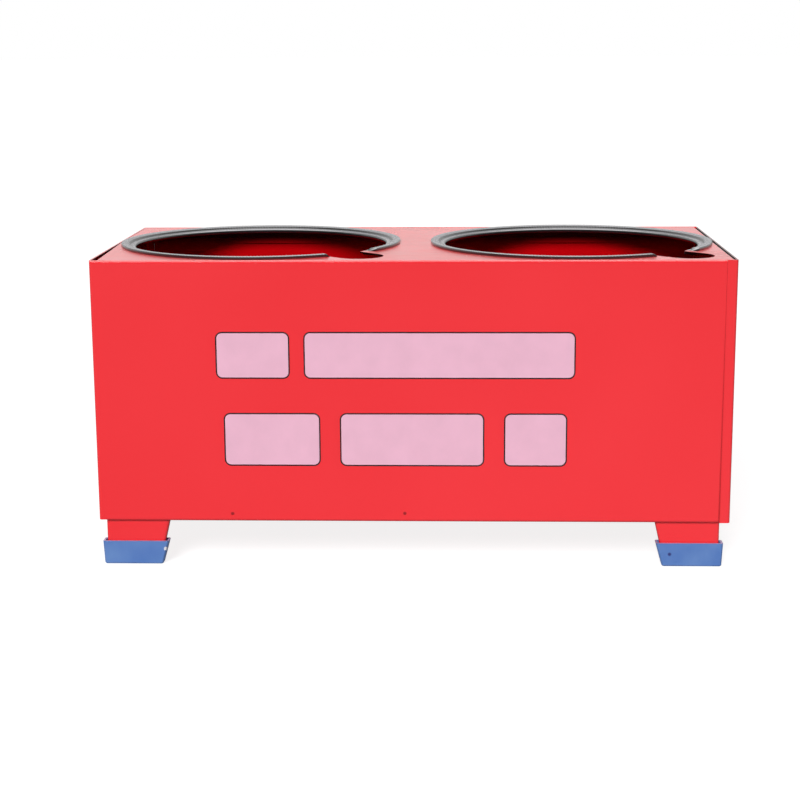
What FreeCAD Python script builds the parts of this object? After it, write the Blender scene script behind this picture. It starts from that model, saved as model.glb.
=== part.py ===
"""Floor stand that holds two fire extinguishers upright.

Two folded steel sheets close into a low box. The front one carries the top plate
with two round holes, each with a notch for the hose. A tray inside takes the load,
four folded legs in plastic shoes lift the box, and rubber trim edges the holes.

Millimetres. +X right, +Y back, +Z up, origin on the floor under the middle.
"""
import FreeCAD, Part
import math
import os
from FreeCAD import Vector

# Height of the walls, and of the legs below them
wall_height = 150.0
foot_height = 26.0

# Sheet metal
sheet = 1.0
bend_inside = 0.6
fit_gap = 0.3

# Seams and folded edges of the two wall sheets
return_width = 6.2
seam_gap = 0.1
end_wall_lift = 0.6
flange_inset = 4.5
bottom_flange = 12.0

# Top plate
top_flange_drop = 10.0
slit_width_front = 3.6
slit_length = 91.0

# Holes with hose notches, and the plate left round their trims
hole_radius = 77.0
notch_width = 28.0
notch_reach = 28.0
notch_angle = -46.5
ring_gap = 20.0
end_margin = 4.0
side_margin = 3.5

# Rubber edge trim
trim_cover = 6.0
trim_web = 1.6
trim_slot_gap = 0.2
trim_lip = 2.2
trim_valley = 1.9
trim_crest = 2.4
trim_bulb = 1.9
trim_under = 1.3
trim_under_short = 0.8
trim_end_gap = 1.5

# Tray that the extinguishers stand on
tray_edge_height = 8.0

# Legs
leg_setback = 2.4
leg_reach = 0.9
leg_width_top = 36.8
leg_width_bottom = 31.0
leg_depth = 3.4

# Plastic shoes
shoe_height = 13.8
shoe_floor = 1.2
shoe_wall = 1.2
shoe_fit = 0.3
shoe_flare = 0.9
shoe_corner = 0.8
shoe_base_chamfer = 0.6

# Spot weld that shows as a small pit low on the front wall
pit_radius = 1.1
pit_depth = 0.2
pit_from_middle = 103.0
pit_above_edge = 4.2

# Worked out from the sizes above
bend = bend_inside + sheet
trim_outer = hole_radius + trim_cover
trim_inner = hole_radius - trim_slot_gap - trim_web
hole_x = trim_outer + ring_gap / 2
half_length = hole_x + trim_outer + end_margin
half_depth = trim_outer + side_margin
wall_bottom = foot_height
wall_top = foot_height + wall_height
seam_edge = half_length - return_width - seam_gap / 2
return_edge = half_length - return_width + seam_gap / 2
flange_from = -half_length + flange_inset
inside_x = half_length - sheet - fit_gap
inside_y = half_depth - sheet - fit_gap
notch_radius = notch_width / 2
notch_distance = hole_radius + notch_reach - notch_radius
half_mouth = math.asin(notch_radius / hole_radius)
quarter_inset = 1 - math.sqrt(0.5)
leg_face_y = -half_depth + leg_setback


def in_plan(level):
    """Places (x, y) points at a level."""
    return lambda u, v: Vector(u, v, level)


def across_depth(x):
    """Places (y, z) points at a distance along the stand."""
    return lambda u, v: Vector(x, u, v)


def across_length(y):
    """Places (x, z) points at a depth."""
    return lambda u, v: Vector(u, y, v)


def corner_arc(before, corner, after, inner):
    """Three points of the arc that rounds a fold, on its outer or its inner face."""
    into = Vector(corner[0] - before[0], corner[1] - before[1], 0).normalize()
    out = Vector(after[0] - corner[0], after[1] - corner[1], 0).normalize()
    tangent = bend * math.tan(into.getAngle(out) / 2)
    point = Vector(corner[0], corner[1], 0)
    start = point - into * tangent
    end = point + out * tangent
    centre = start + fold_normal(before, corner, after) * bend
    radius = bend_inside if inner else bend
    return [centre + (p - centre).normalize() * radius for p in (start, point, end)]


def folded_wire(points, place):
    """Closed outline of sheet metal whose outer face follows the points.

    All folds turn the same way, and the metal lies on the inside of them.
    """
    faces = []
    for inner in (False, True):
        run = []
        for before, corner, after in zip(points, points[1:], points[2:]):
            run.append(corner_arc(before, corner, after, inner))
        first = Vector(points[0][0], points[0][1], 0)
        last = Vector(points[-1][0], points[-1][1], 0)
        if inner:
            first = first + fold_normal(points[0], points[1], points[2]) * sheet
            last = last + fold_normal(points[-2], points[-1], points[-3]) * sheet
        faces.append((first, run, last))
    edges = []
    outer_first, outer_run, outer_last = faces[0]
    inner_first, inner_run, inner_last = faces[1]
    add_run(edges, outer_first, outer_run, outer_last, place)
    add_line(edges, outer_last, inner_last, place)
    add_run(edges, inner_last, [arc[::-1] for arc in inner_run[::-1]], inner_first, place)
    add_line(edges, inner_first, outer_first, place)
    return Part.Wire(edges)


def fold_normal(start, end, beyond):
    """Unit vector square to a stretch, towards the side where the point beyond lies."""
    along = Vector(end[0] - start[0], end[1] - start[1], 0).normalize()
    normal = Vector(-along.y, along.x, 0)
    reach = Vector(beyond[0] - start[0], beyond[1] - start[1], 0)
    return normal if normal.dot(reach) > 0 else normal * -1


def add_line(edges, start, end, place):
    """Adds a straight edge, or nothing where the two points meet."""
    if start.distanceToPoint(end) > 1e-6:
        edges.append(Part.LineSegment(place(start.x, start.y), place(end.x, end.y)).toShape())


def add_run(edges, first, arcs, last, place):
    """Adds the straight stretches and fold arcs along one face of the sheet."""
    here = first
    for start, middle, end in arcs:
        add_line(edges, here, start, place)
        edges.append(Part.Arc(*[place(p.x, p.y) for p in (start, middle, end)]).toShape())
        here = end
    add_line(edges, here, last, place)


def folded(points, place, run):
    """Sheet metal folded along the points and run out along a vector."""
    return Part.Face(folded_wire(points, place)).extrude(run)


def block(low, high):
    """Plain box between two corners."""
    size = [b - a for a, b in zip(low, high)]
    return Part.makeBox(*size, Vector(*low))


def flat_plate(points, bottom, thickness):
    """Flat plate with a straight-sided outline."""
    corners = [Vector(x, y, bottom) for x, y in points]
    return Part.Face(Part.makePolygon(corners + corners[:1])).extrude(Vector(0, 0, thickness))


def joined(shapes):
    """One solid from shapes that share faces."""
    return shapes[0].fuse(shapes[1:]).removeSplitter()


def half_turn(shape):
    """The same shape turned half a turn about the upright axis."""
    turned = shape.copy()
    turned.rotate(Vector(0, 0, 0), Vector(0, 0, 1), 180)
    return turned


def long_and_end_wall():
    """Front wall and left end wall in one sheet, with a return and a bottom flange.

    The return at the far corner closes the other sheet's long wall, and the plain
    edge of this sheet's long wall meets the other sheet's return.
    """
    outline = [
        (seam_edge, -half_depth),
        (-half_length, -half_depth),
        (-half_length, half_depth),
        (-return_edge, half_depth),
    ]
    walls = folded(outline, in_plan(wall_bottom), Vector(0, 0, wall_height))
    square_edge = block(
        (flange_from, -half_depth, wall_bottom),
        (seam_edge, -half_depth + bend, wall_bottom + bend),
    )
    end_edge = block(
        (-half_length, -half_depth, wall_bottom),
        (flange_from, half_depth - bend, wall_bottom + end_wall_lift),
    )
    flange = folded(
        [
            (-half_depth, wall_bottom + bend),
            (-half_depth, wall_bottom),
            (-half_depth + bottom_flange, wall_bottom),
        ],
        across_depth(flange_from),
        Vector(seam_edge - flange_from, 0, 0),
    )
    return joined([walls.cut([square_edge, end_edge]), flange])


def notched_hole(centre_x):
    """Cutter for a round hole whose front right side opens into a slot for the hose."""
    angle = math.radians(notch_angle)
    centre = Vector(centre_x, 0, wall_top - sheet)
    along = Vector(math.cos(angle), math.sin(angle), 0)
    across = Vector(-along.y, along.x, 0) * notch_radius
    slot_end = centre + along * notch_distance
    mouth = centre + along * (hole_radius * math.cos(half_mouth))
    left_in, left_out = mouth - across, slot_end - across
    right_in, right_out = mouth + across, slot_end + across
    hole_arc = Part.Arc(right_in, centre - along * hole_radius, left_in)
    end_arc = Part.Arc(left_out, slot_end + along * notch_radius, right_out)
    edges = [
        hole_arc,
        Part.LineSegment(left_in, left_out),
        end_arc,
        Part.LineSegment(right_out, right_in),
    ]
    outline = Part.Wire([edge.toShape() for edge in edges])
    return Part.Face(outline).extrude(Vector(0, 0, sheet))


def top_plate():
    """Top plate with its front bend, two inner flanges and the slit at its left edge."""
    front_bend_end = -half_depth + bend
    front_bend_from = -half_length + bend
    right_bend = inside_x - bend
    rear_bend = inside_y - bend
    outline = [
        (-half_length + sheet + slit_width_front, front_bend_end),
        (seam_edge, front_bend_end),
        (seam_edge, -inside_y),
        (right_bend, -inside_y),
        (right_bend, rear_bend),
        (-inside_x, rear_bend),
        (-inside_x, front_bend_end + slit_length),
    ]
    plate = flat_plate(outline, wall_top - sheet, sheet)

    front_bend = folded(
        [(-half_depth, wall_top - bend), (-half_depth, wall_top), (front_bend_end, wall_top)],
        across_depth(front_bend_from),
        Vector(seam_edge - front_bend_from, 0, 0),
    )
    flange_end = wall_top - top_flange_drop
    rear_from = -inside_x
    rear_flange = folded(
        [(rear_bend, wall_top), (inside_y, wall_top), (inside_y, flange_end)],
        across_depth(rear_from),
        Vector(right_bend - rear_from, 0, 0),
    )
    right_flange = folded(
        [(right_bend, wall_top), (inside_x, wall_top), (inside_x, flange_end)],
        across_length(-inside_y),
        Vector(0, rear_bend + inside_y, 0),
    )
    holes = [notched_hole(side * hole_x) for side in (-1, 1)]
    return joined([plate, front_bend, rear_flange, right_flange]).cut(holes)


def front_sheet():
    """Front wall, left end wall and top plate, folded from one sheet."""
    walls = long_and_end_wall()
    front_edge = block(
        (-half_length + bend, -half_depth, wall_top - bend),
        (seam_edge, -half_depth + bend, wall_top),
    )
    corner_square = block(
        (-half_length, -half_depth, wall_top - bend),
        (-half_length + bend, -half_depth + bend, wall_top),
    )
    corner_round = Part.makeCylinder(
        bend, bend, Vector(-half_length, -half_depth + bend, wall_top - bend), Vector(1, 0, 0)
    )
    walls = walls.cut([front_edge, corner_square.cut(corner_round)])
    whole = joined([walls, top_plate()])
    pit = Part.makeCylinder(
        pit_radius,
        2 * pit_depth,
        Vector(-pit_from_middle, -half_depth - pit_depth, wall_bottom + pit_above_edge),
        Vector(0, 1, 0),
    )
    return whole.cut(pit)


def rear_sheet():
    """Rear wall and right end wall, the front walls' fold pattern turned half a turn."""
    return half_turn(long_and_end_wall())


def base_tray():
    """Shallow tray with upturned edges that lies on the walls' bottom flanges."""
    bottom = wall_bottom + sheet
    edge_top = bottom + tray_edge_height
    bend_x = inside_x - bend
    bend_y = inside_y - bend
    floor = block((-bend_x, -bend_y, bottom), (bend_x, bend_y, bottom + sheet))
    long_edge = folded(
        [(-inside_y, edge_top), (-inside_y, bottom), (-bend_y, bottom)],
        across_depth(-bend_x),
        Vector(2 * bend_x, 0, 0),
    )
    short_edge = folded(
        [(-inside_x, edge_top), (-inside_x, bottom), (-bend_x, bottom)],
        across_length(-bend_y),
        Vector(0, 2 * bend_y, 0),
    )
    return joined([floor, long_edge, half_turn(long_edge), short_edge, half_turn(short_edge)])


def trim_section():
    """Section of the rubber trim in (radius, height above the plate) at angle zero.

    A slot grips the sheet's edge. The top has a lip at its outer edge, a shallow
    valley and a bulb that rolls over the hole's edge.
    """
    slot_end = hole_radius - trim_slot_gap
    crest_r = trim_inner + trim_bulb
    roll = quarter_inset * trim_bulb
    low = -sheet - trim_under
    under_outer = trim_outer - trim_under_short
    points = [
        (slot_end, 0),
        (trim_outer, 0),
        (trim_outer, trim_lip),
        ((trim_outer + crest_r) / 2, trim_valley),
        (crest_r, trim_crest),
        (trim_inner + roll, trim_crest - roll),
        (trim_inner, trim_crest - trim_bulb),
        (trim_inner, low),
        (under_outer, low),
        (under_outer, -sheet),
        (slot_end, -sheet),
    ]
    corners = [Vector(radius, 0, wall_top + height) for radius, height in points]
    return Part.makePolygon(corners + corners[:1])


def edge_trim(centre_x):
    """Rubber trim round a hole, left open across the hose notch."""
    half_open = math.degrees(half_mouth) + trim_end_gap
    trim = Part.Face(trim_section()).revolve(Vector(0, 0, 0), Vector(0, 0, 1), 360 - 2 * half_open)
    trim.rotate(Vector(0, 0, 0), Vector(0, 0, 1), notch_angle + half_open)
    trim.translate(Vector(centre_x, 0, 0))
    return trim


def leg_width(level):
    """Width of the tapered leg at a level."""
    share = (level - shoe_floor) / (foot_height - shoe_floor)
    return leg_width_bottom + (leg_width_top - leg_width_bottom) * share


def front_leg(outer_x):
    """Tapered channel leg on the right, whose top edge is welded under the flange."""
    def channel(level):
        inner_x = outer_x - leg_width(level)
        back = leg_face_y + leg_depth
        outline = [(inner_x, back), (inner_x, leg_face_y), (outer_x, leg_face_y), (outer_x, back)]
        return folded_wire(outline, in_plan(level))

    return Part.makeLoft([channel(shoe_floor), channel(foot_height)], True, True)


def round_the_leg(outer_x, level, growth):
    """Rectangle round the leg, grown by an amount at a level."""
    low_x = outer_x - leg_width(level) - growth
    high_x = outer_x + growth
    low_y = leg_face_y - growth
    high_y = leg_face_y + leg_depth + growth
    outline = [(low_x, low_y), (high_x, low_y), (high_x, high_y), (low_x, high_y), (low_x, low_y)]
    return Part.makePolygon([Vector(x, y, level) for x, y in outline])


def front_shoe(outer_x):
    """Open plastic shoe that flares out round the bottom of the leg."""
    base = round_the_leg(outer_x, 0, shoe_fit + shoe_wall)
    rim = round_the_leg(outer_x, shoe_height, shoe_flare + shoe_wall)
    shoe = Part.makeLoft([base, rim], True, True)
    upright = [edge for edge in shoe.Edges if edge.BoundBox.ZLength > shoe_floor]
    shoe = shoe.makeChamfer(shoe_corner, upright)
    under = [edge for edge in shoe.Edges if edge.BoundBox.ZMax < shoe_floor]
    shoe = shoe.makeChamfer(shoe_base_chamfer, under)
    inside_base = round_the_leg(outer_x, shoe_floor, shoe_fit)
    inside_rim = round_the_leg(outer_x, shoe_height, shoe_flare)
    return shoe.cut(Part.makeLoft([inside_base, inside_rim], True, True))


def four_corners(name, front_piece):
    """The piece at each end of a front flange, and both turned half a turn to the rear.

    The legs reach a little past the ends of the bottom flanges.
    """
    front_right = front_piece(seam_edge + leg_reach)
    front_left = front_piece(-flange_from + leg_reach).mirror(Vector(0, 0, 0), Vector(1, 0, 0))
    return {
        name + "_front_right": front_right,
        name + "_front_left": front_left,
        name + "_rear_left": half_turn(front_right),
        name + "_rear_right": half_turn(front_left),
    }


def build():
    """All pieces by node name."""
    pieces = {
        "front_sheet": front_sheet(),
        "rear_sheet": rear_sheet(),
        "base_tray": base_tray(),
        "edge_trim_left": edge_trim(-hole_x),
        "edge_trim_right": edge_trim(hole_x),
    }
    pieces.update(four_corners("leg", front_leg))
    pieces.update(four_corners("foot_shoe", front_shoe))
    return pieces


os.makedirs("parts", exist_ok=True)
for name, piece in build().items():
    solid = piece.Solids[0] if len(piece.Solids) == 1 else piece
    solid.exportStep("parts/" + name + ".step")
    box = solid.BoundBox
    print(
        "%-24s solids %d valid %s volume %.0f  x %.2f %.2f  y %.2f %.2f  z %.2f %.2f"
        % (name, len(piece.Solids), piece.isValid(), piece.Volume,
           box.XMin, box.XMax, box.YMin, box.YMax, box.ZMin, box.ZMax)
    )
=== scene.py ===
"""Looks of the fire extinguisher stand: finishes, ribbed rubber trims, print, light, camera."""
import bpy
import math
from mathutils import Matrix, Vector


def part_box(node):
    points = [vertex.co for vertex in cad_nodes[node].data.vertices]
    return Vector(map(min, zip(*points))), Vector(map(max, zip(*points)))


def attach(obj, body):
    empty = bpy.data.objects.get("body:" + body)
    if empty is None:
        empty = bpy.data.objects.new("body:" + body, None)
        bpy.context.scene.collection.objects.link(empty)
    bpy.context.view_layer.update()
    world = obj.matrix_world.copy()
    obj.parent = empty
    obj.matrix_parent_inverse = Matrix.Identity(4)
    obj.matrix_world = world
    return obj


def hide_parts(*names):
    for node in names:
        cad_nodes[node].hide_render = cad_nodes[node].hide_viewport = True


MM = 0.001

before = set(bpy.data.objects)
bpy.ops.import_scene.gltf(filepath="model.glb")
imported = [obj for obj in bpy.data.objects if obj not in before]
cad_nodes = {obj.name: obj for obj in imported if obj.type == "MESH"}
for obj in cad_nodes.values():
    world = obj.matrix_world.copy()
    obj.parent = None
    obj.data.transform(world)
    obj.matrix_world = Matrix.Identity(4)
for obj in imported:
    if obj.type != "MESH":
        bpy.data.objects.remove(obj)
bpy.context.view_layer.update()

# Camera
camera_place = Vector((27.6, -1025.6, 294.3)) * MM
camera_yaw = math.radians(2.097)
camera_pitch = math.radians(11.852)
camera_roll = math.radians(-0.333)
focal_pixels = 1707.2
image_pixels = 800
sensor = 36.0
camera_reach = 50.0

# Lamp: angles in degrees
key_azimuth = -14.0
key_elevation = 34.0
key_spread = 26.0
key_strength = 3.3

# Room light on the object, from in front and from behind, by the direction's share along Y
room_light = 0.1
room_light_behind = 0.5
room_behind_full = 0.6

# What glossy faces mirror, by the direction's share along Y or Z
mirror_dim = 0.1
mirror_dim_until = -0.35
mirror_white_from = 0.45
overhead_light = 4.5
overhead_from = 0.68
overhead_full = 0.86

# Floor: its tone under the lamp, and the glow that the camera and reflections see on it
floor_size = 30.0
floor_tone = 0.3
floor_glow = 0.85
floor_mirrored = 0.2

# Places read from the frame
wall_low, wall_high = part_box("front_sheet")
tray_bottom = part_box("base_tray")[0].z
plate_top = wall_high.z
end_face = -wall_low.x
front_face = wall_low.y
half_depth = -front_face

# Hole and hose notch in the plate, in mm and degrees
sheet = 1.0
hole_radius = 77.0
notch_half_width = 14.0
notch_angle = -46.5
notch_half_mouth = math.degrees(math.asin(notch_half_width / hole_radius))

# Rubber trim section, in mm: heights are from the plate's top
trim_web = 1.6
trim_slot_gap = 0.2
trim_cover = 6.0
trim_grow = 0.8
trim_lip = 1.8
trim_lip_round = 0.5
trim_bead = 1.1
trim_bead_top = 0.0
trim_under = 1.3
trim_under_short = 0.8
trim_under_round = 0.6
trim_core_height = -0.6

# Slope and groove between lip and bead: way in from the plain trim's rim, and height
trim_slope = (
    (1.9, 1.78),
    (3.4, 1.5),
    (3.9, 1.4),
    (3.98, 1.3),
    (4.25, 0.26),
    (4.35, 0.15),
    (6.1, 0.12),
)

# Trim ends: degrees past the notch's mouth, and how far their foot reaches past their top
trim_stop_rear = {"left": 5.0, "right": 4.0}
trim_stop_front = {"left": 0.8, "right": 2.8}
trim_tip_reach = 2.2

# Ribs across the trim, in mm: the profile is in shares of the pitch and of the depth
rib_pitch = 1.78
rib_depth = 0.16
rib_profile = ((0.0, 1.0), (0.14, 0.45), (0.3, 0.0), (0.7, 0.0), (0.86, 0.45))

# Print on the front wall, in mm: two rows of bars, each with its place and the width of its bars
print_rows = {
    "upper": {"left": -109.6, "low": 109.9, "height": 25.2, "bars": (40.2, 150.6), "gap": 9.4},
    "lower": {"left": -105.9, "low": 59.5, "height": 29.2, "bars": (53.2, 80.0, 34.0), "gap": 12.6},
}
print_corner = 3.0
print_outline = 0.8
print_film = 0.04

# Marks on the shoes and low on the front wall: place and radius in mm
shoe_smudge = (146.5, -86.0, 7.3, 1.3)
# Painted glint: a white spot on the left shoe's right edge
shoe_glint = (-142.2, -86.0, 9.2, 1.5)
# Painted shade: dark dots in the shallow weld pits low on the front wall
weld_pit_shade = ((-103.0, -86.5, 30.4, 1.3), (-4.4, -86.5, 31.0, 1.2))

# Darker line along the front seam, in mm
seam_place = 173.8
seam_core = 0.2
seam_reach = 0.8

# Painted shade inside the box close under the plate, in mm down from its top
painted_shade_full = 6.0
painted_shade_none = 15.0

# Dull film with painted sheen on level faces, in mm along the stand: it thins out towards the left end
film_and_sheen_thinnest = -160.0
film_and_sheen_usual = -60.0

# Inside of the box and cut edges of its sheet, where shade is painted, in mm in from the outer faces
skin = 0.5
plate_band = 1.1
plate_margin = 4.5
plate_face = 0.05
end_edge = 1.2


def srgb(red, green, blue):
    """Linear colour, with alpha, of a display colour in 0 to 255."""
    def linear(value):
        value = value / 255
        return value / 12.92 if value <= 0.04045 else ((value + 0.055) / 1.055) ** 2.4
    return (linear(red), linear(green), linear(blue), 1.0)


def new_material(name):
    """Node material with a shader linked to its output."""
    material = bpy.data.materials.new(name)
    material.use_nodes = True
    tree = material.node_tree
    tree.nodes.clear()
    output = tree.nodes.new("ShaderNodeOutputMaterial")
    shader = tree.nodes.new("ShaderNodeBsdfPrincipled")
    tree.links.new(shader.outputs["BSDF"], output.inputs["Surface"])
    return material, tree, shader


def noise(tree, scale, detail=3.0, stretch=(1, 1, 1), roughness=0.5):
    """Noise over the row frame's metres, finer with a larger scale."""
    coordinates = tree.nodes.new("ShaderNodeTexCoord")
    mapping = tree.nodes.new("ShaderNodeMapping")
    mapping.inputs["Scale"].default_value = stretch
    texture = tree.nodes.new("ShaderNodeTexNoise")
    texture.inputs["Scale"].default_value = scale
    texture.inputs["Detail"].default_value = detail
    texture.inputs["Roughness"].default_value = roughness
    tree.links.new(coordinates.outputs["Object"], mapping.inputs["Vector"])
    tree.links.new(mapping.outputs["Vector"], texture.inputs["Vector"])
    return texture.outputs["Fac"]


def remap(tree, value, low, high, to_low, to_high):
    """Value stretched from one range to another and held inside it."""
    node = tree.nodes.new("ShaderNodeMapRange")
    node.inputs["From Min"].default_value = low
    node.inputs["From Max"].default_value = high
    node.inputs["To Min"].default_value = to_low
    node.inputs["To Max"].default_value = to_high
    tree.links.new(value, node.inputs["Value"])
    return node.outputs["Result"]


def mottle(tree, scale, detail, low, high):
    """Number that wanders between two values with noise."""
    return remap(tree, noise(tree, scale, detail), 0.3, 0.7, low, high)


def mix(tree, factor, first, second):
    """Colour mix whose ends are colours or sockets."""
    node = tree.nodes.new("ShaderNodeMix")
    node.data_type = "RGBA"
    for socket, value in (("A", first), ("B", second)):
        target = [s for s in node.inputs if s.name == socket and s.type == "RGBA"][0]
        if isinstance(value, tuple):
            target.default_value = value
        else:
            tree.links.new(value, target)
    tree.links.new(factor, node.inputs["Factor"])
    return [s for s in node.outputs if s.type == "RGBA"][0]


def math_node(tree, operation, first, second):
    """One math node on sockets or numbers."""
    node = tree.nodes.new("ShaderNodeMath")
    node.operation = operation
    for index, value in enumerate((first, second)):
        if isinstance(value, (int, float)):
            node.inputs[index].default_value = value
        else:
            tree.links.new(value, node.inputs[index])
    return node.outputs["Value"]


def plus(tree, first, second):
    """Sum of two sockets or numbers."""
    return math_node(tree, "ADD", first, second)


def times(tree, first, second):
    """Product of two sockets or numbers."""
    return math_node(tree, "MULTIPLY", first, second)


def blend_values(tree, factor, first, second):
    """Number between two, by a factor."""
    node = tree.nodes.new("ShaderNodeMix")
    node.data_type = "FLOAT"
    tree.links.new(factor, node.inputs["Factor"])
    for index, value in ((2, first), (3, second)):
        if isinstance(value, (int, float)):
            node.inputs[index].default_value = value
        else:
            tree.links.new(value, node.inputs[index])
    return node.outputs[0]


def bump(tree, shader, height, strength, distance):
    """Fine relief on a shader."""
    node = tree.nodes.new("ShaderNodeBump")
    node.inputs["Strength"].default_value = strength
    node.inputs["Distance"].default_value = distance
    tree.links.new(height, node.inputs["Height"])
    tree.links.new(node.outputs["Normal"], shader.inputs["Normal"])


def place_in_frame(tree, axis):
    """Place along one axis of the row frame, in metres."""
    coordinates = tree.nodes.new("ShaderNodeTexCoord")
    split = tree.nodes.new("ShaderNodeSeparateXYZ")
    tree.links.new(coordinates.outputs["Object"], split.inputs["Vector"])
    return split.outputs[axis]


def near_spot(tree, spot):
    """One at a small mark on the surface, fading to nothing around it."""
    x, y, z, radius = (value * MM for value in spot)
    coordinates = tree.nodes.new("ShaderNodeTexCoord")
    distance = tree.nodes.new("ShaderNodeVectorMath")
    distance.operation = "DISTANCE"
    distance.inputs[1].default_value = (x, y, z)
    tree.links.new(coordinates.outputs["Object"], distance.inputs[0])
    return remap(tree, distance.outputs["Value"], 0.5 * radius, radius, 1.0, 0.0)


def facing_up(tree):
    """One on level faces that look up, nothing on the rest."""
    geometry = tree.nodes.new("ShaderNodeNewGeometry")
    split = tree.nodes.new("ShaderNodeSeparateXYZ")
    tree.links.new(geometry.outputs["Normal"], split.inputs["Vector"])
    return remap(tree, split.outputs["Z"], 0.85, 0.98, 0.0, 1.0)


def inside_box(tree):
    """One on the faces inside the box and on the cut edges of its holes, nothing outside."""
    height = place_in_frame(tree, "Z")
    width = math_node(tree, "ABSOLUTE", place_in_frame(tree, "X"), 0)
    depth = math_node(tree, "ABSOLUTE", place_in_frame(tree, "Y"), 0)
    at_plate = math_node(tree, "GREATER_THAN", height, plate_top - plate_band * MM)
    wall_inside = half_depth - skin * MM
    plate_inside = half_depth - plate_margin * MM
    deep_enough = blend_values(tree, at_plate, wall_inside, plate_inside)
    within = math_node(tree, "LESS_THAN", width, end_face - skin * MM)
    within = times(tree, within, math_node(tree, "LESS_THAN", depth, deep_enough))
    within = times(tree, within, math_node(tree, "LESS_THAN", height, plate_top - plate_face * MM))
    return times(tree, within, math_node(tree, "GREATER_THAN", height, tray_bottom + skin * MM))


def shade_under_plate(tree):
    """One close under the top plate, where dark shade is painted, nothing lower down."""
    start = plate_top - painted_shade_none * MM
    full = plate_top - painted_shade_full * MM
    return remap(tree, place_in_frame(tree, "Z"), start, full, 0.0, 1.0)


def end_wall_shade_edge(tree):
    """One on the cut edge of the right end wall, where shade is painted, nothing further in."""
    return math_node(tree, "GREATER_THAN", place_in_frame(tree, "X"), end_face - end_edge * MM)


def seam_line(tree):
    """Darker line along the front seam: most in its middle near the bottom, fading upwards and aside."""
    aside = math_node(tree, "SUBTRACT", place_in_frame(tree, "X"), seam_place * MM)
    aside = math_node(tree, "ABSOLUTE", aside, 0)
    line = remap(tree, aside, seam_core * MM, seam_reach * MM, 1.0, 0.0)
    low = remap(tree, place_in_frame(tree, "Z"), wall_low.z, plate_top, 0.6, 0.0)
    front = math_node(tree, "LESS_THAN", place_in_frame(tree, "Y"), front_face + skin * MM)
    return times(tree, times(tree, line, low), front)


def dull_film_and_sheen(tree, level):
    """Patches of dull film with painted sheen on level faces, fewer towards the left end."""
    patches = remap(tree, noise(tree, 16.0, 5.0, (0.7, 1.3, 1.0), 0.6), 0.4, 0.66, 0.3, 1.0)
    place = place_in_frame(tree, "X")
    thinner = remap(tree, place, film_and_sheen_thinnest * MM, film_and_sheen_usual * MM, 0.75, 1.0)
    return times(tree, level, times(tree, patches, thinner))


def red_paint():
    """Glossy red powder coat with orange peel, a dull film with painted sheen in patches on level faces,
    and painted shade inside the box, on the right end wall's top edge and in the weld pits.
    """
    material, tree, shader = new_material("red_paint")
    level = facing_up(tree)
    film_and_sheen = dull_film_and_sheen(tree, level)
    coat = mix(tree, mottle(tree, 7.0, 2.0, 0.0, 1.0), srgb(240, 44, 52), srgb(244, 50, 58))
    # Pale film on level faces: a dull dust film, and a painted sheen.
    outside = mix(tree, times(tree, film_and_sheen, 0.5), coat, srgb(176, 132, 128))
    # Painted shade: the up-facing cut edge of the right end wall is dark brownish red along its joint with
    # the plate.
    outside = mix(tree, times(tree, level, end_wall_shade_edge(tree)), outside, srgb(84, 34, 34))
    # Painted shade darkens the red in the weld pits.
    for mark in weld_pit_shade:
        outside = mix(tree, near_spot(tree, mark), outside, srgb(150, 24, 30))
    outside = mix(tree, seam_line(tree), outside, srgb(164, 0, 8))
    # Painted shade: inside the box and on the cut edges of its holes the red is darker, nearly black close
    # under the plate.
    inside = inside_box(tree)
    inside_shade_colour = mix(tree, shade_under_plate(tree), srgb(186, 3, 12), srgb(24, 1, 3))
    tree.links.new(mix(tree, inside, outside, inside_shade_colour), shader.inputs["Base Color"])
    rough = mottle(tree, 40.0, 4.0, 0.09, 0.14)
    for place, extra in ((inside, 0.08), (level, 0.08), (film_and_sheen, 0.1)):
        rough = plus(tree, rough, times(tree, place, extra))
    tree.links.new(rough, shader.inputs["Roughness"])
    bump(tree, shader, noise(tree, 620.0, 2.0), 0.10, 0.0003)
    return material


def blue_plastic():
    """Smooth moulded blue plastic with a fine grain, and a painted highlight on the rims that look up."""
    material, tree, shader = new_material("blue_plastic")
    blue = mix(tree, mottle(tree, 60.0, 3.0, 0.0, 1.0), srgb(84, 122, 188), srgb(102, 138, 196))
    # Painted highlight: faces that look up are paler.
    blue = mix(tree, facing_up(tree), blue, srgb(176, 152, 190))
    # A dark smudge on the right shoe, and a painted glint on the left one.
    for spot, colour in ((shoe_smudge, srgb(52, 60, 120)), (shoe_glint, srgb(240, 240, 245))):
        blue = mix(tree, near_spot(tree, spot), blue, colour)
    tree.links.new(blue, shader.inputs["Base Color"])
    tree.links.new(mottle(tree, 300.0, 3.0, 0.34, 0.46), shader.inputs["Roughness"])
    bump(tree, shader, noise(tree, 1800.0, 2.0), 0.12, 0.0002)
    return material


def black_rubber():
    """Satin black rubber with a fine grain, and pale dust with a painted sheen where it looks up."""
    material, tree, shader = new_material("black_rubber")
    tone = remap(tree, noise(tree, 45.0, 4.0), 0.35, 0.65, 0.0, 1.0)
    black = mix(tree, tone, srgb(14, 13, 16), srgb(24, 23, 27))
    # Pale where it looks up: dust, and a painted sheen.
    dust_and_sheen = times(tree, facing_up(tree), 0.9)
    tree.links.new(mix(tree, dust_and_sheen, black, srgb(112, 110, 116)), shader.inputs["Base Color"])
    tree.links.new(mottle(tree, 500.0, 3.0, 0.12, 0.2), shader.inputs["Roughness"])
    shader.inputs["IOR"].default_value = 1.95
    bump(tree, shader, noise(tree, 2400.0, 2.0), 0.06, 0.0001)
    return material


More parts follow.
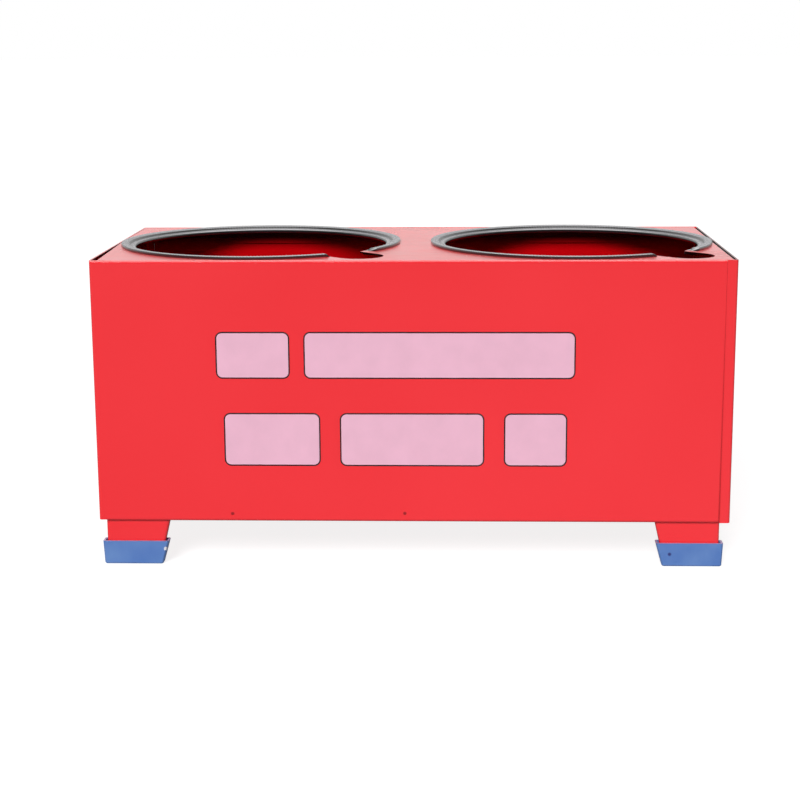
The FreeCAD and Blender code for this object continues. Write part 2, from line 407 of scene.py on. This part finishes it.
def print_ink(name, colour):
    """Flat printed colour, a little uneven in its gloss."""
    material, tree, shader = new_material(name)
    darker = tuple(channel * 0.94 for channel in colour[:3]) + (1.0,)
    uneven = mix(tree, mottle(tree, 90.0, 3.0, 0.0, 1.0), darker, colour)
    tree.links.new(uneven, shader.inputs["Base Color"])
    tree.links.new(mottle(tree, 200.0, 2.0, 0.36, 0.44), shader.inputs["Roughness"])
    return material


def add_mesh(name, vertices, faces, material, smooth=True):
    """New piece from vertices in metres and faces."""
    mesh = bpy.data.meshes.new(name)
    mesh.from_pydata(vertices, [], faces)
    mesh.validate()
    mesh.polygons.foreach_set("use_smooth", [smooth] * len(mesh.polygons))
    mesh.materials.append(material)
    piece = bpy.data.objects.new(name, mesh)
    bpy.context.scene.collection.objects.link(piece)
    return piece


def round_corner(centre, radius, start, end, steps):
    """Points of an arc in a section, from one angle in degrees to another."""
    points = []
    for step in range(steps + 1):
        angle = math.radians(start + (end - start) * step / steps)
        points.append((centre[0] + radius * math.cos(angle), centre[1] + radius * math.sin(angle)))
    return points


def trim_section(outer):
    """Closed outline of the trim's section, with the points that take the ribs marked."""
    edge = outer - trim_cover
    slot_end = edge - trim_slot_gap
    inner = slot_end - trim_web
    under_end = outer - trim_under_short
    low = -sheet - trim_under
    rim = outer + trim_grow
    lip_centre = (rim - trim_lip_round, trim_lip - trim_lip_round)
    bead_centre = (inner + trim_bead, trim_bead_top - trim_bead)
    under_centre = (inner + trim_under_round, low + trim_under_round)
    lip = round_corner(lip_centre, trim_lip_round, 0, 90, 4)
    slope = [(outer - inward, height) for inward, height in trim_slope]
    bead = round_corner(bead_centre, trim_bead, 80, 180, 7)
    under = round_corner(under_centre, trim_under_round, 180, 270, 3)
    over_plate = [(slot_end, 0.0), (rim, 0.0), lip[0]]
    below_plate = under + [(under_end, low), (under_end, -sheet), (slot_end, -sheet)]
    section = [(point, False) for point in over_plate]
    section += [(point, True) for point in lip[1:] + slope + bead]
    section += [(point, False) for point in below_plate]
    return section


def ribbed_trim(side, material):
    """Rubber trim with fine cross ribs and slanted ends, in place of the plain CAD trim."""
    node = "edge_trim_" + side
    low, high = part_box(node)
    centre_x = (low.x + high.x) / 2
    outer = (high.x - low.x) / 2 / MM
    section = trim_section(outer)
    middle = outer - trim_cover / 2
    start = math.radians(notch_angle + notch_half_mouth + trim_stop_rear[side])
    end = math.radians(notch_angle - notch_half_mouth - trim_stop_front[side] + 360)
    sweep = end - start
    ribs = round(sweep * middle / rib_pitch)
    columns = []
    for rib in range(ribs):
        for share, depth in rib_profile:
            columns.append(((rib + share) / ribs, depth))
    columns.append((1.0, 1.0))
    vertices = []
    for turn, depth in columns:
        for (radius, height), takes_ribs in section:
            pull = depth * rib_depth if takes_ribs else 0
            away = Vector((radius - middle, height - trim_core_height))
            point = Vector((radius, height)) - away.normalized() * pull
            low_share = 1 - min(max(height / trim_lip, 0), 1)
            reach = low_share * trim_tip_reach / outer if turn in (0.0, 1.0) else 0
            angle = start + sweep * turn + (reach if turn else -reach)
            vertices.append((
                centre_x + point.x * MM * math.cos(angle),
                point.x * MM * math.sin(angle),
                plate_top + point.y * MM,
            ))
    count = len(section)
    faces = []
    for column in range(len(columns) - 1):
        for index in range(count):
            near = column * count + index
            far = column * count + (index + 1) % count
            faces.append((near, far, far + count, near + count))
    faces.append(tuple(reversed(range(count))))
    last = (len(columns) - 1) * count
    faces.append(tuple(range(last, last + count)))
    piece = add_mesh(node + "_ribbed", vertices, faces, material)
    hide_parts(node)
    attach(piece, "root")
    return piece


def rounded_bar(left, low, width, height, corner, grow):
    """Outline of a bar with round corners, in mm on the front wall."""
    left, low = left - grow, low - grow
    width, height = width + 2 * grow, height + 2 * grow
    corner = corner + grow
    points = []
    for x, z, start in (
        (left + width - corner, low + corner, -90),
        (left + width - corner, low + height - corner, 0),
        (left + corner, low + height - corner, 90),
        (left + corner, low + corner, 180),
    ):
        points += round_corner((x, z), corner, start, start + 90, 6)
    return points


def add_print(name, grow, depth, material):
    """All bars of the print as one film on the front wall."""
    vertices = []
    faces = []
    for row in print_rows.values():
        left = row["left"]
        for width in row["bars"]:
            outline = rounded_bar(left, row["low"], width, row["height"], print_corner, grow)
            first = len(vertices)
            count = len(outline)
            for offset in (0.0, depth):
                for x, z in outline:
                    vertices.append((x * MM, front_face - offset * MM, z * MM))
            faces.append(tuple(range(first, first + count))[::-1])
            faces.append(tuple(range(first + count, first + 2 * count)))
            for index in range(count):
                after = (index + 1) % count
                near = first + index
                far = first + after
                faces.append((near, far, far + count, near + count))
            left += width + row["gap"]
    piece = add_mesh(name, vertices, faces, material, smooth=False)
    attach(piece, "root")
    return piece


def add_sun(name, azimuth, elevation, spread, strength):
    """Broad distant lamp from a direction: azimuth from the front, positive to the right.

    It gives no glint of its own: the world holds what the paint and the rubber mirror.
    """
    lamp = bpy.data.lights.new(name, "SUN")
    lamp.angle = math.radians(spread)
    lamp.energy = strength
    holder = bpy.data.objects.new(name, lamp)
    turn = math.radians(azimuth)
    rise = math.radians(elevation)
    toward = Vector((math.sin(turn) * math.cos(rise), -math.cos(turn) * math.cos(rise), math.sin(rise)))
    holder.rotation_euler = toward.to_track_quat("Z", "Y").to_euler()
    holder.visible_glossy = False
    bpy.context.scene.collection.objects.link(holder)
    return holder


def background_rays(tree):
    """One for rays from the camera and refractions."""
    path = tree.nodes.new("ShaderNodeLightPath")
    return math_node(tree, "MAXIMUM", path.outputs["Is Camera Ray"], path.outputs["Is Transmission Ray"])


def set_world(front_level, rear_level):
    """World that is white to the camera.

    Reflections find it white behind, dim in front and brightest overhead.
    """
    world = bpy.data.worlds.new("studio")
    bpy.context.scene.world = world
    world.use_nodes = True
    tree = world.node_tree
    tree.nodes.clear()
    output = tree.nodes.new("ShaderNodeOutputWorld")
    background = tree.nodes.new("ShaderNodeBackground")
    background.inputs["Color"].default_value = (1, 1, 1, 1)
    direction = tree.nodes.new("ShaderNodeTexCoord")
    split = tree.nodes.new("ShaderNodeSeparateXYZ")
    tree.links.new(direction.outputs["Generated"], split.inputs["Vector"])
    behind = split.outputs["Y"]
    above = split.outputs["Z"]
    mirrored = remap(tree, behind, mirror_dim_until, mirror_white_from, mirror_dim, 1.0)
    overhead = remap(tree, above, overhead_from, overhead_full, 0.0, overhead_light)
    mirrored = plus(tree, mirrored, overhead)
    path = tree.nodes.new("ShaderNodeLightPath")
    soft = remap(tree, behind, 0.0, room_behind_full, front_level, rear_level)
    level = blend_values(tree, path.outputs["Is Glossy Ray"], soft, mirrored)
    strength = blend_values(tree, background_rays(tree), level, 1.0)
    tree.links.new(strength, background.inputs["Strength"])
    tree.links.new(background.outputs["Background"], output.inputs["Surface"])


def add_floor():
    """Pale floor that looks white to the camera away from the shadow."""
    turns = ((-1, -1), (1, -1), (1, 1), (-1, 1))
    corners = [(x * floor_size, y * floor_size, 0) for x, y in turns]
    material = bpy.data.materials.new("floor_white")
    material.use_nodes = True
    tree = material.node_tree
    tree.nodes.clear()
    output = tree.nodes.new("ShaderNodeOutputMaterial")
    diffuse = tree.nodes.new("ShaderNodeBsdfDiffuse")
    diffuse.inputs["Color"].default_value = (floor_tone, floor_tone, floor_tone, 1)
    glow = tree.nodes.new("ShaderNodeEmission")
    path = tree.nodes.new("ShaderNodeLightPath")
    mirrored = times(tree, path.outputs["Is Glossy Ray"], floor_mirrored)
    tree.links.new(blend_values(tree, background_rays(tree), mirrored, floor_glow), glow.inputs["Strength"])
    total = tree.nodes.new("ShaderNodeAddShader")
    tree.links.new(diffuse.outputs["BSDF"], total.inputs[0])
    tree.links.new(glow.outputs["Emission"], total.inputs[1])
    tree.links.new(total.outputs["Shader"], output.inputs["Surface"])
    floor = add_mesh("floor", corners, [(0, 1, 2, 3)], material, smooth=False)


def add_camera():
    """Camera at the photograph's viewing angle."""
    lens = bpy.data.cameras.new("camera")
    lens.sensor_width = sensor
    lens.lens = sensor * focal_pixels / image_pixels
    lens.clip_end = camera_reach
    camera = bpy.data.objects.new("camera", lens)
    facing = Matrix.Rotation(math.pi / 2 - camera_pitch, 4, "X")
    turned = Matrix.Rotation(camera_yaw, 4, "Z") @ facing @ Matrix.Rotation(camera_roll, 4, "Z")
    camera.matrix_world = Matrix.Translation(camera_place) @ turned
    bpy.context.scene.collection.objects.link(camera)
    bpy.context.scene.camera = camera


paint = red_paint()
plastic = blue_plastic()
rubber = black_rubber()
for name, node in cad_nodes.items():
    node.data.materials.clear()
    if name.startswith("foot_shoe"):
        node.data.materials.append(plastic)
    elif name.startswith("edge_trim"):
        node.data.materials.append(rubber)
    else:
        node.data.materials.append(paint)
for side in ("left", "right"):
    ribbed_trim(side, rubber)
add_print("print_edge", print_outline, print_film, print_ink("print_dark", srgb(40, 22, 26)))
add_print("print_fill", 0.0, 2 * print_film, print_ink("print_pink", srgb(238, 186, 208)))

add_floor()
set_world(room_light, room_light_behind)
add_sun("key", key_azimuth, key_elevation, key_spread, key_strength)
add_camera()

bpy.context.scene.view_settings.view_transform = "Standard"
